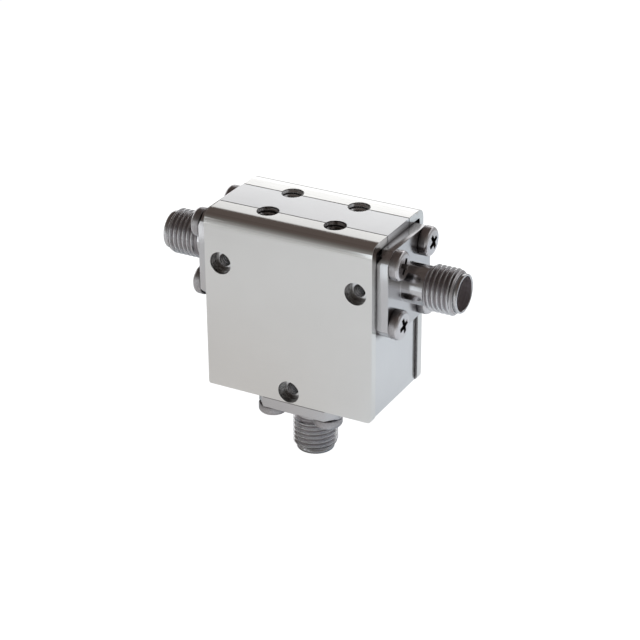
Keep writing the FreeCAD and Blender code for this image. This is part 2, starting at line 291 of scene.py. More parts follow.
def metal(
    name,
    light,
    dark,
    roughness,
    stretch=(1, 1, 1),
    lines=8000.0,
    line_depth=0.0006,
    contrast=0.25,
    residue_and_shade=RESIDUE_AND_SHADE,
    residue_and_shade_roughness=0.5,
    residue_and_shade_streaks=0.5,
    painted_shade=PAINTED_SHADE,
    shade_shut=0.35,
    shade_open=0.7,
    shade_reach=0.8,
):
    """A procedural metal; light and dark are the two ends of its colour variation.

    Painted shade darkens the colour where a point sees little of its surroundings within the
    reach, in mm: it is full where that share is under the shut value, and gone where the share
    reaches the open value. Of the residue and painted shade in holes, the share given for streaks
    stays on the lightest lines.
    """
    material = bpy.data.materials.new(name)
    tree = empty_tree(material)
    where = add_node(tree, "ShaderNodeTexCoord").outputs["Object"]
    grain = add_node(
        tree,
        "ShaderNodeGroup",
        {"Vector": where, "Stretch": stretch, "Lines per metre": lines},
        node_tree=fine_lines,
    ).outputs
    marks = add_node(
        tree, "ShaderNodeGroup", {"Vector": where, "Amount": HANDLING}, node_tree=handling_marks
    ).outputs["Mask"]
    painted_on = {
        layer: add_node(tree, "ShaderNodeAttribute", attribute_name=layer).outputs["Fac"]
        for layer in ("residue_and_shade", "hole_wall", "shaded")
    }
    blend = maths(tree, "MULTIPLY_ADD", grain["Lines"], contrast, 0.5 - contrast / 2)
    blend = maths(tree, "MULTIPLY_ADD", grain["Cloud"], CLOUD_SHARE, blend)
    blend = maths(tree, "SUBTRACT", blend, CLOUD_SHARE / 2, clamp=True)
    tint = mix(tree, "RGBA", blend, opaque(dark), opaque(light))
    # Residue and painted shade: a painted attribute darkens holes, recesses and grooves.
    streaks = remap(tree, grain["Lines"], *RESIDUE_AND_SHADE_LINES, 1.0, residue_and_shade_streaks)
    residue_and_shade_share = maths(tree, "MULTIPLY", painted_on["residue_and_shade"], streaks)
    tint = mix(tree, "RGBA", residue_and_shade_share, tint, opaque(residue_and_shade))
    # Painted shade: an Ambient Occlusion node darkens the colour in tight corners.
    openness = add_node(
        tree, "ShaderNodeAmbientOcclusion", {"Distance": shade_reach * MM}, samples=12
    ).outputs["AO"]
    unshaded = remap(tree, openness, shade_shut, shade_open, smooth=True)
    unshaded = maths(tree, "MAXIMUM", unshaded, painted_on["hole_wall"])
    unshaded = maths(tree, "SUBTRACT", unshaded, painted_on["shaded"], clamp=True)
    tint = mix(tree, "RGBA", unshaded, opaque(painted_shade), tint)
    rough = maths(
        tree, "MULTIPLY_ADD", grain["Lines"], LINE_ROUGHNESS, roughness - LINE_ROUGHNESS / 2
    )
    rough = maths(tree, "MULTIPLY_ADD", marks, MARK_ROUGHNESS, rough)
    rough = mix(tree, "FLOAT", residue_and_shade_share, rough, residue_and_shade_roughness)
    height = maths(tree, "MULTIPLY_ADD", marks, -MARK_DEPTH, grain["Lines"])
    end_material(tree, tint, rough, height, strength=0.5, depth=line_depth, metallic=1.0)
    return material


cover_plating = metal(
    "cover_plating", (0.815, 0.812, 0.80), (0.735, 0.732, 0.72), 0.10,
    stretch=(0.04, 1, 1), lines=5200.0, line_depth=0.0001, contrast=0.35,
    shade_shut=0.57, shade_open=0.69, shade_reach=2.4,
)
block_aluminium = metal(
    "block_aluminium", (0.80, 0.805, 0.815), (0.66, 0.665, 0.68), 0.16,
    stretch=(0.05, 1, 1), lines=6500.0, line_depth=0.0004, contrast=0.35,
    residue_and_shade=(0.10, 0.085, 0.08), residue_and_shade_streaks=0.3,
    painted_shade=(0.15, 0.135, 0.135), shade_shut=0.6, shade_open=0.76, shade_reach=2.0,
)
screw_steel = metal(
    "screw_steel", (0.74, 0.72, 0.735), (0.60, 0.58, 0.595), 0.24,
    lines=9000.0, line_depth=0.0004, residue_and_shade=(0.06, 0.052, 0.052),
    shade_shut=0.5, shade_open=0.9, shade_reach=1.7,
)
RING_STRETCH = {
    "left": (1, 0.04, 0.04),
    "right": (1, 0.04, 0.04),
    "lower": (0.04, 0.04, 1),
}
# In the ports, residue and painted shade take a lighter grey, on the mouths and thread grooves.
port_steel = {
    port: metal(
        "port_steel_" + port, (0.66, 0.655, 0.667), (0.55, 0.545, 0.557), 0.18,
        stretch=stretch, lines=9000.0, line_depth=0.00005,
        residue_and_shade=(0.38, 0.335, 0.35), residue_and_shade_roughness=0.65, residue_and_shade_streaks=0.85,
        shade_shut=0.25, shade_open=0.55, shade_reach=0.45,
    )
    for port, stretch in RING_STRETCH.items()
}
contact_gold = metal("contact_gold", (0.90, 0.72, 0.36), (0.82, 0.62, 0.28), 0.2, lines=9000.0)
strip_silver = metal("strip_silver", (0.88, 0.87, 0.85), (0.8, 0.79, 0.77), 0.25, (0.1, 1, 1))
pole_plating = metal("pole_plating", (0.66, 0.66, 0.66), (0.56, 0.56, 0.57), 0.35, (0.1, 1, 1))
magnet_plating = metal("magnet_plating", (0.5, 0.5, 0.52), (0.42, 0.42, 0.44), 0.32)
print("metals:", len([m for m in bpy.data.materials if m.use_nodes]))

# %% [markdown]
# The white dielectric, the ferrite and the ceramic rings aren't metal: they scatter light. One more
# finish covers them, with a fine mottled colour and a small bump.

# %% A scattering finish
MOTTLE_ROUGHNESS = 0.2


def ceramic(name, light, dark, roughness, scale):
    """A procedural ceramic or plastic; light and dark are the two ends of its colour variation."""
    material = bpy.data.materials.new(name)
    tree = empty_tree(material)
    where = add_node(tree, "ShaderNodeTexCoord").outputs["Object"]
    mottle = grey_noise(tree, where, scale, detail=4.0)
    tint = mix(tree, "RGBA", mottle, opaque(dark), opaque(light))
    rough = maths(
        tree, "MULTIPLY_ADD", mottle, MOTTLE_ROUGHNESS, roughness - MOTTLE_ROUGHNESS / 2
    )
    end_material(tree, tint, rough, mottle, strength=0.4, depth=0.002, metallic=0.0)
    return material


white_dielectric = ceramic(
    "white_dielectric", (0.93, 0.93, 0.91), (0.86, 0.86, 0.84), 0.45, 2500.0
)
ferrite = ceramic("ferrite", (0.12, 0.12, 0.13), (0.07, 0.07, 0.075), 0.5, 4000.0)
ring_ceramic = ceramic("ring_ceramic", (0.9, 0.89, 0.85), (0.82, 0.81, 0.77), 0.35, 3000.0)
print("scattering finishes: 3")

# %% [markdown]
# The folded covers and the block already have the right shape in the CAD, so each is copied. The
# copy's loose triangles are welded, its flat faces joined, and its sharp edges rounded by a tenth of
# a millimetre or so: a thin bright line on every edge is what makes metal look machined.

# %% Helpers: finished copies of CAD nodes
WELD_DISTANCE = 1e-7
FLAT_ANGLE = math.radians(0.5)


def new_object(name, mesh, material):
    """Puts a mesh in the scene as an object with one material."""
    piece = bpy.data.objects.new(name, mesh)
    bpy.context.collection.objects.link(piece)
    mesh.materials.clear()
    mesh.materials.append(material)
    return piece


def evaluated_mesh(piece):
    """A new mesh of the object as it looks with its modifiers or its curve's bevel."""
    bpy.context.view_layer.update()
    graph = bpy.context.evaluated_depsgraph_get()
    return bpy.data.meshes.new_from_object(piece.evaluated_get(graph), depsgraph=graph)


def flattened(piece):
    """Turns an object with live modifiers into a plain mesh object."""
    mesh = evaluated_mesh(piece)
    piece.modifiers.clear()
    piece.data = mesh
    return piece


def welded_copy(node, name, material):
    """A copy of a CAD node, with its triangles joined into whole faces."""
    form = bmesh.new()
    form.from_mesh(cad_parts[node].data)
    bmesh.ops.remove_doubles(form, verts=form.verts, dist=WELD_DISTANCE)
    bmesh.ops.dissolve_limit(
        form,
        angle_limit=FLAT_ANGLE,
        verts=form.verts,
        edges=form.edges,
        use_dissolve_boundaries=False,
    )
    mesh = bpy.data.meshes.new(name)
    form.to_mesh(mesh)
    form.free()
    return new_object(name, mesh, material)


def cut_across(form, point, normal, snap):
    """Cuts every face that a plane meets in two, and removes nothing."""
    whole = form.verts[:] + form.edges[:] + form.faces[:]
    bmesh.ops.bisect_plane(form, geom=whole, dist=snap, plane_co=point, plane_no=normal)


def round_edges(piece, width, segments=3, angle=30):
    """Bevels every edge sharper than the angle, and keeps flat faces flat in shading."""
    bevel = piece.modifiers.new("round", "BEVEL")
    bevel.width = width
    bevel.segments = segments
    bevel.limit_method = "ANGLE"
    bevel.angle_limit = math.radians(angle)
    bevel.use_clamp_overlap = True
    bevel.miter_outer = "MITER_ARC"
    for face in piece.data.polygons:
        face.use_smooth = True
    piece.modifiers.new("weighted", "WEIGHTED_NORMAL").keep_sharp = True
    return flattened(piece)


def paint(piece, layer_name, amount_at):
    """Stores an amount from 0 to 1 at each vertex, as an attribute that the metals read."""
    layer = piece.data.attributes.new(layer_name, "FLOAT", "POINT")
    for vertex, value in zip(piece.data.vertices, layer.data):
        value.value = amount_at(vertex.co)


# %% The two covers
COVER_FACE = -7.6 * MM
COVER_EDGE = 0.12 * MM
BEND_RADIUS = 1.5 * MM
BEND_REACH = 2.4 * MM
BEND_POWER = 3.4
BEND_CUTS = 7
OUTER_SKIN = 0.8
TOP_RESIDUE_AND_SHADE = {"front": 1.6, "rear": 0.4}
TOP_HOLE_REACH = 1.72 * MM
MOTTLE_SIZE = 0.3 * MM
CLEARANCE_RESIDUE_AND_SHADE = 0.9
CLEARANCE_REACH = 1.76 * MM
RIM = 0.01 * MM


def top_hole_residue_and_shade(point):
    """Mottled residue and painted shade on a top hole's wall, lighter in the rear pair."""
    for x, y in TOP_HOLES:
        if math.hypot(point.x - x, point.y - y) < TOP_HOLE_REACH and point.z < -RIM:
            mottle = 1 + noise.noise(point / MOTTLE_SIZE)
            return min(1.0, TOP_RESIDUE_AND_SHADE["front" if y < 0 else "rear"] * mottle)
    return 0.0


def cover_hole_residue_and_shade(point):
    """Residue and painted shade on the walls of the holes that go through the covers."""
    for x, z in FRONT_HOLES:
        away = math.hypot(point.x - x, point.z - z)
        if away < CLEARANCE_REACH and COVER_FACE + RIM < point.y < 0:
            return CLEARANCE_RESIDUE_AND_SHADE
    return top_hole_residue_and_shade(point)


def cover_hole_wall(point):
    """1 where the covers' holes have residue and painted shade."""
    return 1.0 if cover_hole_residue_and_shade(point) > 0 else 0.0


def ease_bend(sheet, side):
    """Lets the bend run out gently into the two flat faces, as a folded sheet's does.

    The section becomes a superellipse that passes where the CAD's arc does at 45 degrees. side is
    -1 for the front cover and 1 for the rear one. Only the sheet's outer skin moves.
    """
    centre_depth = -COVER_FACE - BEND_REACH
    form = bmesh.new()
    form.from_mesh(sheet.data)
    for i in range(BEND_CUTS):
        level = i / BEND_CUTS * (BEND_REACH - BEND_RADIUS)
        cut_across(form, (0, 0, level - BEND_REACH), (0, 0, 1), WELD_DISTANCE)
        cut_across(form, (0, side * (centre_depth + level), 0), (0, 1, 0), WELD_DISTANCE)
    for vertex in form.verts:
        outward = (side * vertex.co.y - centre_depth) / BEND_REACH
        upward = (vertex.co.z + BEND_REACH) / BEND_REACH
        if outward < 0 or upward < 0 or max(outward, upward) < OUTER_SKIN:
            continue
        size = (outward**BEND_POWER + upward**BEND_POWER) ** (1 / BEND_POWER)
        vertex.co.y = side * (centre_depth + outward / size * BEND_REACH)
        vertex.co.z = (upward / size - 1) * BEND_REACH
    form.to_mesh(sheet.data)
    form.free()
    return sheet


for node, side in (("front_cover", -1), ("rear_cover", 1)):
    name = node + "_sheet"
    sheet = ease_bend(welded_copy(node, name, cover_plating), side)
    round_edges(sheet, COVER_EDGE)
    paint(sheet, "residue_and_shade", cover_hole_residue_and_shade)
    paint(sheet, "hole_wall", cover_hole_wall)
    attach(sheet, "root")
    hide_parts(node)
    print(name, len(sheet.data.polygons), "faces")

# %% Helpers: joined meshes, turned forms and arcs
AXIS_RADIUS = 1e-6
IN_MM = Matrix.Scale(MM, 4)


def joined(name, parts, material):
    """One object from several (mesh, matrix) parts, with its place in the mesh."""
    form = bmesh.new()
    for mesh, matrix in parts:
        placed = mesh.copy()
        placed.transform(matrix)
        form.from_mesh(placed)
        bpy.data.meshes.remove(placed)
    mesh = bpy.data.meshes.new(name)
    form.to_mesh(mesh)
    form.free()
    for face in mesh.polygons:
        face.use_smooth = True
    return new_object(name, mesh, material)


def lathe(profile, segments):
    """A closed solid of revolution about Z from a closed outline of (radius, height) in mm."""
    form = bmesh.new()
    rings = []
    for radius, height in profile:
        if radius < AXIS_RADIUS:
            rings.append([form.verts.new((0, 0, height))] * segments)
            continue
        angles = [2 * math.pi * i / segments for i in range(segments)]
        rings.append(
            [form.verts.new((radius * math.cos(a), radius * math.sin(a), height)) for a in angles]
        )
    for ring, after in zip(rings, rings[1:] + rings[:1]):
        for i in range(segments):
            j = (i + 1) % segments
            corners = [ring[i], ring[j], after[j], after[i]]
            corners = [c for k, c in enumerate(corners) if c not in corners[:k]]
            if len(corners) > 2:
                form.faces.new(corners)
    bmesh.ops.recalc_face_normals(form, faces=form.faces)
    mesh = bpy.data.meshes.new("lathe")
    form.to_mesh(mesh)
    form.free()
    return mesh


def arc(centre, radius, start, stop, steps):
    """Points of an arc in the lathe's (radius, height) plane; the angles are in degrees."""
    points = []
    for i in range(steps + 1):
        a = math.radians(start + (stop - start) * i / steps)
        points.append((centre[0] + radius * math.cos(a), centre[1] + radius * math.sin(a)))
    return points


# %% [markdown]
# Every thread on the part is one Geometry Nodes tree. A flat grid is wrapped into a closed ring: its
# columns go round the axis and its rows run along the thread, but for the first row and the last
# two, which close the ring behind it. The height of the ridge follows z / pitch minus the angle,
# which is what makes a helix. One tree serves the barrels, whose ridge stands outward, and the
# tapped holes, where it stands inward.

# %% Geometry Nodes: a helical thread
WHOLE = "NodeSocketInt"
MATERIAL = "NodeSocketMaterial"
GEOMETRY = "NodeSocketGeometry"
THREAD_INPUTS = {
    "Length": FLOAT,
    "Pitch": FLOAT,
    "Phase": FLOAT,
    "Wall radius": FLOAT,
    "Ridge height": FLOAT,
    "Side": FLOAT,
    "Back radius": FLOAT,
    "Start height": FLOAT,
    "Start slope": FLOAT,
    "End height": FLOAT,
    "End slope": FLOAT,
    "End land": FLOAT,
    "Columns": WHOLE,
    "Steps per pitch": WHOLE,
    "Material": MATERIAL,
}
ROOT_UNTIL = 0.15
CREST_FROM = 0.82
LAND_FADE = 1.3
MERGE_DISTANCE = 1e-4


def tree_with(name, inputs, has_geometry=False):
    """A Geometry Nodes tree with named inputs; returns the tree and its two end nodes."""
    tree = bpy.data.node_groups.new(name, "GeometryNodeTree")
    if has_geometry:
        tree.interface.new_socket(name="Geometry", in_out="INPUT", socket_type=GEOMETRY)
    for socket, kind in inputs.items():
        tree.interface.new_socket(name=socket, in_out="INPUT", socket_type=kind)
    tree.interface.new_socket(name="Geometry", in_out="OUTPUT", socket_type=GEOMETRY)
    return tree, tree.nodes.new("NodeGroupInput"), tree.nodes.new("NodeGroupOutput")


helix, entry, leave = tree_with("helical_thread", THREAD_INPUTS)
given = entry.outputs


def calc(operation, *values):
    """One Math node of the thread's tree; returns its output."""
    return maths(helix, operation, *values)


columns = calc("ADD", given["Columns"], 1)
step = calc("DIVIDE", given["Pitch"], given["Steps per pitch"])
last_row = calc("ADD", given["Length"], given["Pitch"])
last_row = calc("CEIL", calc("DIVIDE", last_row, step))
all_rows = calc("ADD", last_row, 4)
grid = add_node(
    helix,
    "GeometryNodeMeshGrid",
    {"Size X": 1.0, "Size Y": 1.0, "Vertices X": columns, "Vertices Y": all_rows},
).outputs["Mesh"]
spot = add_node(helix, "GeometryNodeInputPosition").outputs[0]
spot = add_node(helix, "ShaderNodeSeparateXYZ", {0: spot}).outputs
turn = calc("ADD", spot["X"], 0.5)
row = calc("MULTIPLY", calc("ADD", spot["Y"], 0.5), calc("ADD", last_row, 3))
row = calc("ROUND", row)
front_row = calc("MAXIMUM", calc("SUBTRACT", row, 1), 0)
front_row = calc("MINIMUM", front_row, last_row)
along = calc("MULTIPLY", front_row, step)
along = calc("MULTIPLY_ADD", calc("SUBTRACT", turn, 1), given["Pitch"], along)
along = calc("MINIMUM", calc("MAXIMUM", along, 0), given["Length"])
# Row 0 and the last two stand at the back radius, and the very last is down at the start again.
is_first = calc("LESS_THAN", row, 0.5)
is_behind = calc("GREATER_THAN", row, calc("ADD", last_row, 1.5))
is_closing = calc("GREATER_THAN", row, calc("ADD", last_row, 2.5))
in_back = calc("MAXIMUM", is_first, is_behind)
height_z = calc("MULTIPLY", along, calc("SUBTRACT", 1, is_closing))

wound = calc("SUBTRACT", calc("DIVIDE", along, given["Pitch"]), turn)
wound = calc("FRACT", calc("ADD", wound, given["Phase"]))
tooth = calc("ABSOLUTE", calc("MULTIPLY_ADD", wound, 2, -1))
tooth = remap(helix, tooth, ROOT_UNTIL, CREST_FROM)
from_end = calc("SUBTRACT", given["Length"], along)
land_start = calc("MULTIPLY", given["End land"], LAND_FADE)
land = remap(helix, from_end, land_start, given["End land"])
tooth = calc("MULTIPLY", calc("MAXIMUM", tooth, land), given["Ridge height"])
start_limit = calc("MULTIPLY_ADD", along, given["Start slope"], given["Start height"])
end_limit = calc("MULTIPLY_ADD", from_end, given["End slope"], given["End height"])
tooth = calc("MINIMUM", tooth, calc("MINIMUM", start_limit, end_limit))
radius = calc("MULTIPLY_ADD", tooth, given["Side"], given["Wall radius"])
radius = mix(helix, "FLOAT", in_back, radius, given["Back radius"])
angle = calc("MULTIPLY", turn, 2 * math.pi)
place = add_node(
    helix,
    "ShaderNodeCombineXYZ",
    {
        0: calc("MULTIPLY", radius, calc("COSINE", angle)),
        1: calc("MULTIPLY", radius, calc("SINE", angle)),
        2: height_z,
    },
).outputs[0]
ring = grid
for kind, inputs in (
    ("GeometryNodeSetPosition", {"Position": place}),
    ("GeometryNodeMergeByDistance", {"Distance": MERGE_DISTANCE}),
    ("GeometryNodeSetShadeSmooth", {}),
    ("GeometryNodeRealizeInstances", {}),
    ("GeometryNodeSetMaterial", {"Material": given["Material"]}),
):
    ring = add_node(helix, kind, {"Geometry": ring, **inputs}).outputs[0]
helix.links.new(ring, leave.inputs["Geometry"])


def grown(name, tree, values, base=None):
    """Runs a tree on a small object and returns the plain mesh that it makes."""
    holder = bpy.data.objects.new(name, base or bpy.data.meshes.new(name))
    bpy.context.collection.objects.link(holder)
    modifier = holder.modifiers.new("nodes", "NODES")
    modifier.node_group = tree
    sockets = {s.name: s.identifier for s in tree.interface.items_tree if s.in_out == "INPUT"}
    for socket, value in values.items():
        modifier[sockets[socket]] = value
    mesh = evaluated_mesh(holder)
    bpy.data.objects.remove(holder)
    form = bmesh.new()
    form.from_mesh(mesh)
    bmesh.ops.recalc_face_normals(form, faces=form.faces)
    form.to_mesh(mesh)
    form.free()
    return mesh


print("tree:", helix.name, len(helix.nodes), "nodes")

# %% [markdown]
# The block has seven tapped holes. The CAD drills each at its full diameter, and a ring of thread
# stands inside. The top holes are tapped right through the seams of the covers, so their thread
# starts near the top face. The front holes are smaller than the clearance holes in the cover, and
# a ledge of the block shows round each. The threads' own sizes are in millimetres: IN_MM scales them.

# %% The machined block and its tapped holes
BLOCK_EDGE = 0.06 * MM
TOP_THREAD_DEPTH = 0.12 * MM
FRONT_THREAD_DEPTH = 0.02 * MM
FRONT_HOLE_REACH = 0.96 * MM
FRONT_HOLE_RIM = 0.03 * MM
LEDGE_RADIUS = 1.62 * MM
ROOT_SHARE = 0.75
DEEP_SHADE_PER_MM = 0.1
FRONT_TAP_RADIUS = 0.9
FRONT_TAP_RIDGE = 0.14
TAPPED = {
    "Side": -1.0,
    "Start height": 0.0,
    "Start slope": 0.6,
    "End height": 0.0,
    "End slope": 1.0,
    "End land": 0.001,
    "Material": block_aluminium,
}
TOP_TAP = {
    **TAPPED,
    "Length": 3.6,
    "Pitch": 0.64,
    "Phase": 0.1,
    "Wall radius": 1.549,
    "Ridge height": 0.2,
    "Back radius": 1.5495,
    "Columns": 56,
    "Steps per pitch": 12,
}
FRONT_TAP = {
    **TAPPED,
    "Length": 2.9,
    "Pitch": 0.4536,
    "Phase": 0.3,
    "Wall radius": FRONT_TAP_RADIUS,
    "Ridge height": FRONT_TAP_RIDGE,
    "Back radius": 0.93,
    "Columns": 48,
    "Steps per pitch": 10,
}


def block_hole_residue_and_shade(point):
    """Residue and painted shade in tapped holes: in a front thread, at the roots and deep down."""
    for x, z in FRONT_HOLES:
        away = math.hypot(point.x - x, point.z - z)
        depth = point.y - BLOCK_FRONT
        if away < FRONT_HOLE_REACH and FRONT_HOLE_RIM < depth:
            groove = 1 - (FRONT_TAP_RADIUS - away / MM) / FRONT_TAP_RIDGE
            at_root = max(0.0, (groove - ROOT_SHARE) / (1 - ROOT_SHARE))
            # Painted shade grows with the depth in the hole.
            return min(1.0, at_root + DEEP_SHADE_PER_MM * depth / MM)
    return top_hole_residue_and_shade(point)


def block_hole_wall(point):
    """1 in the tapped holes and on the ledge that shows round each front one."""
    for x, z in FRONT_HOLES:
        if math.hypot(point.x - x, point.z - z) < LEDGE_RADIUS and point.y < 0:
            return 1.0
    return 1.0 if top_hole_residue_and_shade(point) > 0 else 0.0


top_thread = grown("top_thread", helix, TOP_TAP)
front_thread = grown("front_thread", helix, FRONT_TAP)
down = Matrix.Rotation(math.pi, 4, "X")
inward = Matrix.Rotation(math.radians(-90), 4, "X")
block = welded_copy("housing_block", "block_form", block_aluminium)
round_edges(block, BLOCK_EDGE, segments=2)
block_parts = [(block.data, Matrix.Identity(4))]
for x, y in TOP_HOLES:
    place = Matrix.Translation((x, y, -TOP_THREAD_DEPTH))
    block_parts.append((top_thread, place @ down @ IN_MM))
for x, z in FRONT_HOLES:
    place = Matrix.Translation((x, BLOCK_FRONT + FRONT_THREAD_DEPTH, z))
    block_parts.append((front_thread, place @ inward @ IN_MM))
block_body = joined("block_body", block_parts, block_aluminium)
bpy.data.objects.remove(block)
paint(block_body, "residue_and_shade", block_hole_residue_and_shade)
paint(block_body, "hole_wall", block_hole_wall)
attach(block_body, "root")
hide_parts("housing_block")
print("block", len(block_body.data.polygons), "faces")

# %% [markdown]
# A port is turned and milled from one bar: a square flange with its corners cut off, a plain neck, a
# short thread that fades in from the neck, a smooth nose and the mouth. The flange is a filled flat
# curve, which gives a plate with holes and rounded edges at once. The neck, nose and bore are a
# lathe outline. The thread is the tree above. The sizes of the ports and screws stay in millimetres,
# and z = 0 is where the flange sits on the block.

# %% The port shells
FLANGE_THICKNESS = 2.1
FLANGE_HALF = 6.35
FLANGE_CORNER = 1.6
FLANGE_EDGE = 0.09
HALF_SCREW_SPACING = 4.318
SCREW_HOLE_RADIUS = 1.3
NECK_HOLE_RADIUS = 2.4
HOLE_STEPS = 48
NECK_END = 5.25
NECK_RADIUS = 2.75
NECK_FILLET = 0.05
CORE_RADIUS = 2.6
NOSE_START = 9.557
NOSE_RADIUS = 2.68
NOSE_EDGE = 0.12
BARREL_END = 10.177
MOUTH_RADIUS = 2.35
MOUTH_EDGE = 0.09
MOUTH_FLOOR = BARREL_END - 2.4
BORE_RADIUS = 2.06
THREAD_PITCH = 0.7056
THREAD_ROOT = 2.78
RIDGE_HEIGHT = 0.395
CREST_AT = 7.5
THREAD_STARTS = {"left": 4.62, "right": NECK_END, "lower": 4.62}
FRONT_TURNS = {"left": 0.778, "right": 0.722, "lower": 0.75}
BARREL_SEGMENTS = 96
MOUTH_SHADE_REACH = MOUTH_RADIUS + 0.04
MOUTH_SHADE_TOP = BARREL_END - 0.12
GROOVE_RESIDUE_AND_SHADE = 0.75
GROOVE_TOP = 0.375
RIDGE_SLACK = 0.01
SHADED_AMOUNT = 0.8
SHADED_FRONT = -6.2
SHADED_DEPTH = 0.6
SHADED_BLEND = 0.03
SNAP_DISTANCE = 1e-5
FLAT_COSINE = 0.9999


def flange_plate():
    """The flange as a mesh in mm, with its seat at z = 0."""
    curve = bpy.data.curves.new("flange_outline", "CURVE")
    curve.dimensions = "2D"
    curve.fill_mode = "BOTH"
    curve.bevel_depth = FLANGE_EDGE
    curve.bevel_resolution = 2
    curve.extrude = FLANGE_THICKNESS / 2 - FLANGE_EDGE
    curve.offset = -FLANGE_EDGE
    half = FLANGE_HALF
    cut = FLANGE_HALF - FLANGE_CORNER
    outline = [(-cut, -half), (cut, -half), (half, -cut), (half, cut)]
    loops = [outline + [(-x, -y) for x, y in outline]]
    spacing = HALF_SCREW_SPACING
    rings = [(0, 0, NECK_HOLE_RADIUS)]
    rings += [(x * spacing, y * spacing, SCREW_HOLE_RADIUS) for x in (-1, 1) for y in (-1, 1)]
    turns = [-2 * math.pi * i / HOLE_STEPS for i in range(HOLE_STEPS)]
    for x, y, size in rings:
        loops.append([(x + size * math.cos(a), y + size * math.sin(a)) for a in turns])
    for loop in loops:
        spline = curve.splines.new("POLY")
        spline.points.add(len(loop) - 1)
        for point, (x, y) in zip(spline.points, loop):
            point.co = (x, y, 0, 1)
        spline.use_cyclic_u = True
    holder = bpy.data.objects.new("flange_outline", curve)
    bpy.context.collection.objects.link(holder)
    mesh = evaluated_mesh(holder)
    bpy.data.objects.remove(holder)
    mesh.transform(Matrix.Translation((0, 0, FLANGE_THICKNESS / 2)))
    form = bmesh.new()
    form.from_mesh(mesh)
    bmesh.ops.remove_doubles(form, verts=form.verts, dist=MERGE_DISTANCE)
    bmesh.ops.recalc_face_normals(form, faces=form.faces)
    for level in (SHADED_DEPTH - SHADED_BLEND, SHADED_DEPTH + SHADED_BLEND):
        cut_across(form, (0, 0, level), (0, 0, 1), SNAP_DISTANCE)
    form.to_mesh(mesh)
    form.free()
    return mesh


def barrel_residue_and_shade(local, thread_start):
    """Painted shade: 1 on the wall and floor of the mouth and bore, part of that in the grooves."""
    radius = math.hypot(local.x, local.y)
    if radius < MOUTH_SHADE_REACH:
        return 1.0 if local.z < MOUTH_SHADE_TOP else 0.0
    # In the thread's grooves the amount is partly residue, partly painted shade.
    crest = THREAD_ROOT + RIDGE_HEIGHT
    is_on_ridge = THREAD_ROOT - RIDGE_SLACK < radius < crest + RIDGE_SLACK
    if is_on_ridge and thread_start < local.z < NOSE_START:
        depth = (crest - radius) / RIDGE_HEIGHT
        return GROOVE_RESIDUE_AND_SHADE * min(1.0, max(0.0, (depth - GROOVE_TOP) / (1 - GROOVE_TOP)))
    return 0.0


def overhung(point):
    """The shade on the front edge of the lower flange, just under the block."""
    is_in_front = point.y < SHADED_FRONT * MM
    is_near_block = point.z > BLOCK_BOTTOM - SHADED_DEPTH * MM
    return SHADED_AMOUNT if is_in_front and is_near_block else 0.0


barrel_outline = [
    (BORE_RADIUS, 0.0),
    (NECK_RADIUS, 0.0),
    (NECK_RADIUS, FLANGE_THICKNESS - NECK_FILLET),
    (NECK_RADIUS + NECK_FILLET, FLANGE_THICKNESS - NECK_FILLET),
]
fillet_centre = (NECK_RADIUS + NECK_FILLET, FLANGE_THICKNESS + NECK_FILLET)
barrel_outline += arc(fillet_centre, NECK_FILLET, 270, 180, 5)
barrel_outline += [
    (NECK_RADIUS, NECK_END + 0.02),
    (CORE_RADIUS, NECK_END + 0.03),
    (CORE_RADIUS, NOSE_START - 0.03),
    (NOSE_RADIUS, NOSE_START - 0.02),
]
barrel_outline += arc((NOSE_RADIUS - NOSE_EDGE, BARREL_END - NOSE_EDGE), NOSE_EDGE, 0, 90, 4)
barrel_outline += [
    (MOUTH_RADIUS + MOUTH_EDGE, BARREL_END),
    (MOUTH_RADIUS, BARREL_END - MOUTH_EDGE),
    (MOUTH_RADIUS, BARREL_END - MOUTH_EDGE - 0.05),
    (MOUTH_RADIUS, MOUTH_FLOOR),
    (BORE_RADIUS, MOUTH_FLOOR),
]
barrel_core = lathe(barrel_outline, BARREL_SEGMENTS)
plate = flange_plate()
for port, seat in PORTS.items():
    steel = port_steel[port]
    thread_start = THREAD_STARTS[port]
    thread = grown(
        port + "_thread",
        helix,
        {
            "Length": NOSE_START - thread_start,
            "Pitch": THREAD_PITCH,
            "Phase": (FRONT_TURNS[port] - (CREST_AT - thread_start) / THREAD_PITCH) % 1,
            "Wall radius": THREAD_ROOT,
            "Ridge height": RIDGE_HEIGHT,
            "Side": 1.0,
            "Back radius": 2.5,
            "Start height": -0.04,
            "Start slope": 0.8,
            "End height": -0.06,
            "End slope": 1.0,
            "End land": 0.3,
            "Columns": BARREL_SEGMENTS,
            "Steps per pitch": 18,
            "Material": steel,
        },
    )
    thread_place = seat @ Matrix.Translation((0, 0, thread_start * MM)) @ IN_MM
    parts = [(plate, seat @ IN_MM), (barrel_core, seat @ IN_MM), (thread, thread_place)]
    shell = joined(port + "_port_body", parts, steel)
    to_port = (seat @ IN_MM).inverted()
    paint(shell, "residue_and_shade", lambda point: barrel_residue_and_shade(to_port @ point, thread_start))
    if port == "lower":
        paint(shell, "shaded", overhung)
    axis = seat.to_3x3() @ Vector((0, 0, 1))
    for face in shell.data.polygons:
        face.use_smooth = abs(face.normal.dot(axis)) < FLAT_COSINE
    shell.modifiers.new("weighted", "WEIGHTED_NORMAL").keep_sharp = True
    flattened(shell)
    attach(shell, "root")
    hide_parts(port + "_port_shell")
    print(shell.name, len(shell.data.polygons), "faces")

# %% [markdown]
# The twelve flange screws are alike, so one is made and Geometry Nodes set four of it on each
# flange. Its head is a lathe outline with a rounded edge and a low crown, and the cross recess is cut
# with a tapered cutter. Each screw stopped at its own angle when it was tightened: the angle is an
# attribute on the four points that carry them.

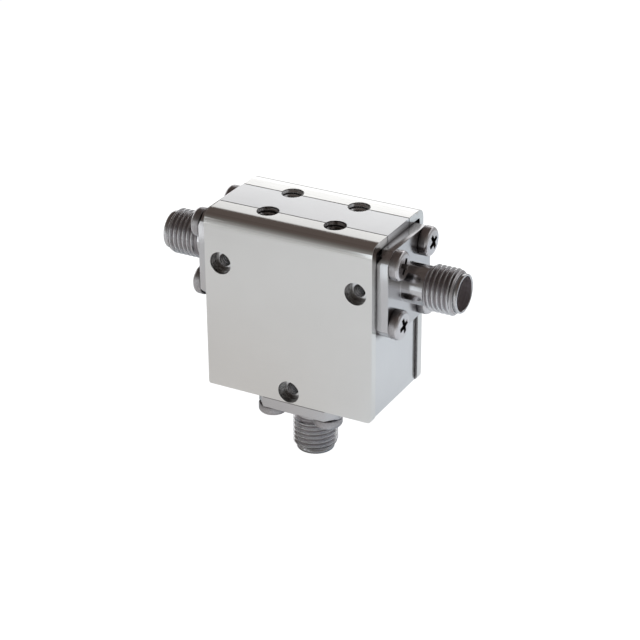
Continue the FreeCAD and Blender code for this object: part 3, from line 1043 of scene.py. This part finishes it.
# %% One pan-head screw
HEAD_RADIUS = 2.05
HEAD_HEIGHT = 1.45
CROWN = 0.04
EDGE_RADIUS = 0.55
SHANK_RADIUS = 1.09
SHANK_LENGTH = 5.5
SHANK_TIP = 0.2
SCREW_EDGE = 0.035
RECESS_DEPTH = 0.8
RECESS_FLOOR = {"reach": 0.66, "wide": 0.22}
RECESS_MOUTH = {"reach": 1.24, "wide": 0.36}
# Painted shade in the cross recess and on the band of the head next to the flange.
RECESS_SHADE_REACH = 1.45
RECESS_SHADE_LOW = 0.5
RECESS_SHADE_RIM = 0.07
BAND_WIDTH = 0.12
BAND_TOP = 1.0
BAND_SHADE = 0.4
FOOT_TOP = 0.3
FOOT_SHADE = 0.6


def crown_height(radius):
    """The crown's height at a distance from the screw's axis, in mm."""
    return HEAD_HEIGHT - CROWN * radius * radius


def cross_cutter():
    """Two crossed tapered wedges, in mm."""
    form = bmesh.new()
    levels = ((HEAD_HEIGHT - RECESS_DEPTH, RECESS_FLOOR), (HEAD_HEIGHT + 0.15, RECESS_MOUTH))
    for quarter in (0, 90):
        spin = Matrix.Rotation(math.radians(quarter), 3, "Z")
        ends = []
        for z, size in levels:
            x, y = size["reach"], size["wide"]
            corners = [(-x, -y, z), (x, -y, z), (x, y, z), (-x, y, z)]
            ends.append([form.verts.new(spin @ Vector(corner)) for corner in corners])
        bottom, upper = ends
        form.faces.new(bottom[::-1])
        form.faces.new(upper)
        for i in range(4):
            j = (i + 1) % 4
            form.faces.new((bottom[i], bottom[j], upper[j], upper[i]))
    mesh = bpy.data.meshes.new("cross_cutter")
    form.to_mesh(mesh)
    form.free()
    return mesh


def screw_painted_shade(point):
    """Painted shade: 1 in the recess, some on the head's band, most of it next to the flange."""
    away = math.hypot(point.x, point.y)
    recess_top = crown_height(away) - RECESS_SHADE_RIM
    if away < RECESS_SHADE_REACH and RECESS_SHADE_LOW < point.z < recess_top:
        return 1.0
    if away > HEAD_RADIUS - BAND_WIDTH and point.z < BAND_TOP:
        return FOOT_SHADE if point.z < FOOT_TOP else BAND_SHADE
    return 0.0


edge_inset = HEAD_RADIUS - EDGE_RADIUS
head_outline = [(radius, crown_height(radius)) for radius in (0.0, 0.4, 0.8)]
head_outline += arc((edge_inset, crown_height(edge_inset) - EDGE_RADIUS), EDGE_RADIUS, 84, 0, 12)
head_outline += [
    (HEAD_RADIUS, 0.1),
    (HEAD_RADIUS - 0.08, 0.0),
    (SHANK_RADIUS, 0.0),
    (SHANK_RADIUS, SHANK_TIP - SHANK_LENGTH),
    (SHANK_RADIUS - SHANK_TIP, -SHANK_LENGTH),
    (0.0, -SHANK_LENGTH),
]
blank = new_object("screw_blank", lathe(head_outline, 64), screw_steel)
cutter = new_object("cross_cutter", cross_cutter(), screw_steel)
cutting = blank.modifiers.new("recess", "BOOLEAN")
cutting.operation = "DIFFERENCE"
cutting.solver = "EXACT"
cutting.use_self = True
cutting.object = cutter
flattened(blank)
round_edges(blank, SCREW_EDGE, segments=2, angle=35)
bpy.data.objects.remove(cutter)
paint(blank, "residue_and_shade", screw_painted_shade)
print("screw", len(blank.data.polygons), "faces")

# %% Geometry Nodes: four screws on a flange
SCREW_TURNS = (63, 17, 5, 28)
SCREW_PLACES = [
    (x * HALF_SCREW_SPACING, y * HALF_SCREW_SPACING, FLANGE_THICKNESS)
    for x, y in ((-1, -1), (1, -1), (1, 1), (-1, 1))
]

set_of_screws, entry, leave = tree_with(
    "flange_screws", {"Screw": "NodeSocketObject", "Material": MATERIAL}, has_geometry=True
)
given = entry.outputs
source = add_node(set_of_screws, "GeometryNodeObjectInfo", {"Object": given["Screw"]})
turned = add_node(
    set_of_screws, "GeometryNodeInputNamedAttribute", {"Name": "turn"}, data_type="FLOAT"
)
spun = add_node(set_of_screws, "ShaderNodeCombineXYZ", {2: turned.outputs["Attribute"]})
screw = source.outputs["Geometry"]
placed = add_node(
    set_of_screws,
    "GeometryNodeInstanceOnPoints",
    {"Points": given["Geometry"], "Instance": screw, "Rotation": spun.outputs[0]},
)
real = add_node(
    set_of_screws, "GeometryNodeRealizeInstances", {"Geometry": placed.outputs[0]}
).outputs[0]
painted = add_node(
    set_of_screws, "GeometryNodeSetMaterial", {"Geometry": real, "Material": given["Material"]}
)
set_of_screws.links.new(painted.outputs[0], leave.inputs["Geometry"])

for port, seat in PORTS.items():
    points = bpy.data.meshes.new("screw_points")
    points.from_pydata(SCREW_PLACES, [], [])
    turn_layer = points.attributes.new("turn", "FLOAT", "POINT")
    for value, degrees in zip(turn_layer.data, SCREW_TURNS):
        value.value = math.radians(degrees)
    values = {"Screw": blank, "Material": screw_steel}
    mesh = grown(port + "_screws", set_of_screws, values, points)
    mesh.transform(seat @ IN_MM)
    screws = new_object(port + "_flange_screws", mesh, screw_steel)
    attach(screws, "root")
    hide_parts(port + "_port_screws")
    print(screws.name, len(mesh.polygons), "faces")
bpy.data.objects.remove(blank)

# %% Finishes on the CAD nodes that stay
stays = {}
for side in ("front", "rear"):
    stays[side + "_ferrite_disc"] = ferrite
    stays[side + "_dielectric_ring"] = ring_ceramic
    stays[side + "_ground_plate"] = pole_plating
    stays[side + "_magnet"] = magnet_plating
    stays[side + "_pole_shim"] = pole_plating
stays["centre_conductor"] = strip_silver
for port in PORTS:
    stays[port + "_port_insulator"] = white_dielectric
    stays[port + "_port_contact"] = contact_gold
for node, material in stays.items():
    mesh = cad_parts[node].data
    mesh.materials.clear()
    mesh.materials.append(material)
print("CAD nodes that stay:", len(stays))

# %% [markdown]
# The set is a white table and a plain soft studio. What polished metal shows is its surroundings,
# so the world is bright behind and dim in front and overhead, as in a product studio, while rays
# that come straight from the camera find white. The table carries a painted pool of light: its
# colour is darker far from the part. What the metals reflect of it is a painted reflection too, a
# glow that is darker far from the part.

# %% Table
TABLE_HALF = 3.0
TABLE_LIGHT_POOL = {"low": 0.07, "high": 0.19, "to_low": 0.9, "to_high": 0.45}
FAR_REFLECTION_GLOW = {"low": 0.09, "high": 0.26, "to_low": 0.62, "to_high": 0.43}
FAR_EDGE = {"low": 0.08, "high": 0.14}
FAR_COLOR = (1.0, 0.998, 0.99, 1)
CAMERA_GLOW = 1.25
CAMERA_SHARE = 0.8
WHITE = (1, 1, 1, 1)

floor_mesh = bpy.data.meshes.new("table")
floor_mesh.from_pydata(
    [(x * TABLE_HALF, y * TABLE_HALF, cad_low.z) for x, y in ((-1, -1), (1, -1), (1, 1), (-1, 1))],
    [],
    [(0, 1, 2, 3)],
)
table_with_light_pool = bpy.data.materials.new("table_with_light_pool")
tree = empty_tree(table_with_light_pool)
away = add_node(tree, "ShaderNodeTexCoord").outputs["Object"]
for operation, inputs, output in (("MULTIPLY", {1: (1, 1, 0)}, "Vector"), ("LENGTH", {}, "Value")):
    away = add_node(
        tree, "ShaderNodeVectorMath", {0: away, **inputs}, operation=operation
    ).outputs[output]
# Painted pool of light: the table's colour is lighter near the part.
tone = remap(tree, away, **TABLE_LIGHT_POOL, smooth=True)
far_reflection_strength = remap(tree, away, **FAR_REFLECTION_GLOW, smooth=True)
is_far = remap(tree, away, **FAR_EDGE, smooth=True)
matt = add_node(tree, "ShaderNodeBsdfDiffuse", {"Color": tone}).outputs[0]
# Painted reflection: glossy rays find a glow that dims far from the part.
painted_far_reflection = {"Color": FAR_COLOR, "Strength": far_reflection_strength}
painted_far_reflection = add_node(tree, "ShaderNodeEmission", painted_far_reflection).outputs[0]
glow = add_node(tree, "ShaderNodeEmission", {"Color": WHITE, "Strength": CAMERA_GLOW}).outputs[0]
path = add_node(tree, "ShaderNodeLightPath").outputs
mirrored = maths(tree, "MULTIPLY", path["Is Glossy Ray"], is_far)
seen = maths(tree, "MULTIPLY", path["Is Camera Ray"], CAMERA_SHARE)
matt = add_node(tree, "ShaderNodeMixShader", {0: mirrored, 1: matt, 2: painted_far_reflection}).outputs[0]
mixed = add_node(tree, "ShaderNodeMixShader", {0: seen, 1: matt, 2: glow}).outputs[0]
add_node(tree, "ShaderNodeOutputMaterial", {"Surface": mixed})
table = new_object("table", floor_mesh, table_with_light_pool)

# %% World and lamps
DIM_CEILING = (0.105, 0.084, 0.075)
WALL_STRENGTH = 1.6
SIDE_STRENGTH = 0.9
BEHIND = {"low": -0.15, "high": 0.3}
LEFTWARD = {"low": 0.2, "high": 0.0}
EDGE_SHIFT = 0.45
EDGE_TILT = 0.25
FRONT_TONES = [
    (0.0, (0.36, 0.355, 0.345)),
    (0.19, (0.25, 0.24, 0.23)),
    (0.47, (0.16, 0.15, 0.14)),
    (0.8, DIM_CEILING),
]
REAR_TONES = [
    (0.0, (0.40, 0.40, 0.405)),
    (0.30, (1.0, 1.0, 1.0)),
    (0.392, (0.92, 0.92, 0.92)),
    (0.408, (0.50, 0.50, 0.50)),
    (0.424, (0.46, 0.455, 0.45)),
    (0.436, tuple(tone / WALL_STRENGTH for tone in DIM_CEILING)),
]


def ramp(tree, value, stops):
    """A colour ramp with (position, colour) stops; returns its colour."""
    node = add_node(tree, "ShaderNodeValToRGB", {0: value})
    steps = node.color_ramp.elements
    while len(steps) < len(stops):
        steps.new(0.5)
    for step, (position, color) in zip(steps, stops):
        step.position = position
        step.color = opaque(color)
    return node.outputs["Color"]


world = bpy.data.worlds.new("studio")
bpy.context.scene.world = world
tree = empty_tree(world)
toward = add_node(tree, "ShaderNodeTexCoord").outputs["Generated"]
toward = add_node(tree, "ShaderNodeSeparateXYZ", {0: toward}).outputs
front_tones = ramp(tree, toward["Z"], FRONT_TONES)
rising = maths(tree, "ADD", toward["X"], EDGE_SHIFT)
rising = maths(tree, "MULTIPLY_ADD", rising, -EDGE_TILT, toward["Z"])
rear_tones = ramp(tree, rising, REAR_TONES)
behind = remap(tree, toward["Y"], **BEHIND)
leftward = remap(tree, toward["X"], **LEFTWARD)
studio_color = mix(tree, "RGBA", behind, front_tones, rear_tones)
wall_light = maths(tree, "MULTIPLY", maths(tree, "GREATER_THAN", behind, 0.5), leftward)
wall_light = maths(
    tree, "MULTIPLY_ADD", wall_light, WALL_STRENGTH - SIDE_STRENGTH, SIDE_STRENGTH
)
wall_light = mix(tree, "FLOAT", behind, 1.0, wall_light)
studio = {"Color": studio_color, "Strength": wall_light}
studio = add_node(tree, "ShaderNodeBackground", studio).outputs[0]
white = add_node(tree, "ShaderNodeBackground", {"Color": WHITE, "Strength": 1.0}).outputs[0]
path = add_node(tree, "ShaderNodeLightPath").outputs
mixed = {0: path["Is Camera Ray"], 1: studio, 2: white}
mixed = add_node(tree, "ShaderNodeMixShader", mixed).outputs[0]
add_node(tree, "ShaderNodeOutputWorld", {"Surface": mixed})


def softbox(name, place, aim, size, power, color):
    """A rectangular area lamp that stands at place and faces aim; size is its width and height."""
    lamp = bpy.data.lights.new(name, "AREA")
    lamp.shape = "RECTANGLE"
    lamp.size, lamp.size_y = size
    lamp.energy = power
    lamp.color = color
    holder = bpy.data.objects.new(name, lamp)
    bpy.context.collection.objects.link(holder)
    holder.location = place
    holder.rotation_euler = (Vector(aim) - Vector(place)).to_track_quat("-Z", "Y").to_euler()
    return holder


LAMPS = [
    ("overhead", (0.03, -0.03, 0.2), (0.02, -0.03, -0.036), (0.2, 0.2), 0.37, (1.0, 0.995, 0.985)),
    ("cool_side", (0.16, 0.16, 0.12), (0.03, 0.03, -0.036), (0.12, 0.12), 0.2, (0.52, 0.78, 1.0)),
]
CARDS = [
    ("right_card", (-0.0225, -0.1, -0.014), (0.017, 0.042), 0.0019, (0.86, 0.94, 1.0)),
    ("left_card", (-0.080, -0.1, 0.002), (0.024, 0.076), 0.0066, (0.95, 0.98, 1.0)),
]
for lamp in LAMPS:
    softbox(*lamp).visible_glossy = False
for name, place, size, power, color in CARDS:
    straight_ahead = (place[0], 0, place[2])
    softbox(name, place, straight_ahead, size, power, color)
print("lamps:", len(LAMPS) + len(CARDS))
